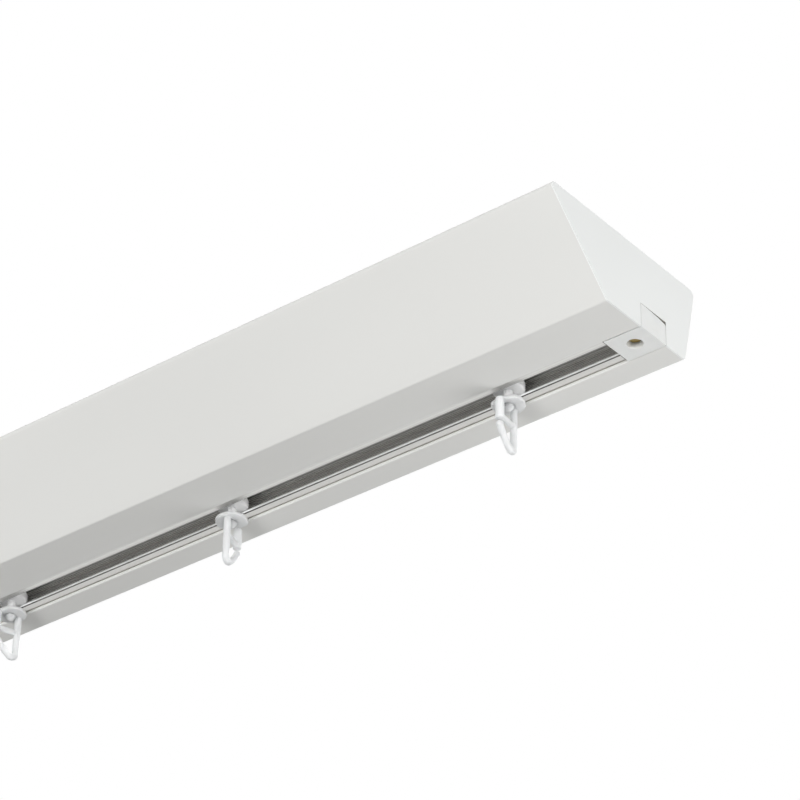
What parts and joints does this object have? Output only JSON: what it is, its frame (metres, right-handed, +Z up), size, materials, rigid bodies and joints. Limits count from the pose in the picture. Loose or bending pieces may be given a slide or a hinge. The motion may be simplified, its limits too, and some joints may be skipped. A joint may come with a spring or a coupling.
{
  "type": "curtain track",
  "caption": "Ceiling-mounted cornice curtain track: a slant-fronted white board with a recessed running rail, end plugs and sliding gliders whose hooks swivel.",
  "frame": {"origin": "on the ceiling face, above the middle of the running slot, at half of the track's length", "axes": "+X along the track towards the end that the picture shows, +Y towards the wall, +Z up towards the ceiling"},
  "size_m": [1, 0.0714, 0.0475],
  "materials": {
    "white_foil_on_mdf": "satin white foil wrapped round brown fibreboard",
    "aluminium": "plain extruded, satin",
    "plug_plastic": "white, fine moulded texture",
    "glider_plastic": "white, slightly translucent and smooth",
    "screw_steel": "yellow passivated"
  },
  "bodies": {
    "cornice": {"cornice_board": "white_foil_on_mdf", "edge_band_right": "white_foil_on_mdf", "edge_band_left": "white_foil_on_mdf", "running_rail": "aluminium", "end_plug_right": "plug_plastic", "end_plug_left": "plug_plastic", "plug_screw_right": "screw_steel", "plug_screw_left": "screw_steel"},
    "runner_1": {"glider_1_runner": "glider_plastic"},
    "hook_1": {"glider_1_hook": "glider_plastic"},
    "runner_2": {"glider_2_runner": "glider_plastic"},
    "hook_2": {"glider_2_hook": "glider_plastic"},
    "runner_3": {"glider_3_runner": "glider_plastic"},
    "hook_3": {"glider_3_hook": "glider_plastic"},
    "runner_4": {"glider_4_runner": "glider_plastic"},
    "hook_4": {"glider_4_hook": "glider_plastic"},
    "runner_5": {"glider_5_runner": "glider_plastic"},
    "hook_5": {"glider_5_hook": "glider_plastic"},
    "runner_6": {"glider_6_runner": "glider_plastic"},
    "hook_6": {"glider_6_hook": "glider_plastic"},
    "runner_7": {"glider_7_runner": "glider_plastic"},
    "hook_7": {"glider_7_hook": "glider_plastic"},
    "runner_8": {"glider_8_runner": "glider_plastic"},
    "hook_8": {"glider_8_hook": "glider_plastic"}
  },
  "joints": [
    {"name": "glider_1_slide", "type": "slide", "parent": "cornice", "child": "runner_1", "axis": [1, 0, 0], "range_m": [-0.0485, 0.0345]},
    {"name": "glider_1_swivel", "type": "hinge", "parent": "runner_1", "child": "hook_1", "pos_m": [0.446, 0, -0.0305], "axis": [0, 0, 1], "continuous": true},
    {"name": "glider_2_slide", "type": "slide", "parent": "cornice", "child": "runner_2", "axis": [1, 0, 0], "range_m": [-0.0425, 0.0485]},
    {"name": "glider_2_swivel", "type": "hinge", "parent": "runner_2", "child": "hook_2", "pos_m": [0.33429, 0, -0.0305], "axis": [0, 0, 1], "continuous": true},
    {"name": "glider_3_slide", "type": "slide", "parent": "cornice", "child": "runner_3", "axis": [1, 0, 0], "range_m": [-0.055, 0.0425]},
    {"name": "glider_3_swivel", "type": "hinge", "parent": "runner_3", "child": "hook_3", "pos_m": [0.23507, 0, -0.0305], "axis": [0, 0, 1], "continuous": true},
    {"name": "glider_4_slide", "type": "slide", "parent": "cornice", "child": "runner_4", "axis": [1, 0, 0], "range_m": [-0.0545, 0.055]},
    {"name": "glider_4_swivel", "type": "hinge", "parent": "runner_4", "child": "hook_4", "pos_m": [0.11086, 0, -0.0305], "axis": [0, 0, 1], "continuous": true},
    {"name": "glider_5_slide", "type": "slide", "parent": "cornice", "child": "runner_5", "axis": [1, 0, 0], "range_m": [-0.045, 0.0545]},
    {"name": "glider_5_swivel", "type": "hinge", "parent": "runner_5", "child": "hook_5", "pos_m": [-0.01286, 0, -0.0305], "axis": [0, 0, 1], "continuous": true},
    {"name": "glider_6_slide", "type": "slide", "parent": "cornice", "child": "runner_6", "axis": [1, 0, 0], "range_m": [-0.0555, 0.045]},
    {"name": "glider_6_swivel", "type": "hinge", "parent": "runner_6", "child": "hook_6", "pos_m": [-0.11757, 0, -0.0305], "axis": [0, 0, 1], "continuous": true},
    {"name": "glider_7_slide", "type": "slide", "parent": "cornice", "child": "runner_7", "axis": [1, 0, 0], "range_m": [-0.046, 0.0555]},
    {"name": "glider_7_swivel", "type": "hinge", "parent": "runner_7", "child": "hook_7", "pos_m": [-0.24329, 0, -0.0305], "axis": [0, 0, 1], "continuous": true},
    {"name": "glider_8_slide", "type": "slide", "parent": "cornice", "child": "runner_8", "axis": [1, 0, 0], "range_m": [-0.1305, 0.046]},
    {"name": "glider_8_swivel", "type": "hinge", "parent": "runner_8", "child": "hook_8", "pos_m": [-0.35, 0, -0.0305], "axis": [0, 0, 1], "continuous": true}
  ]
}
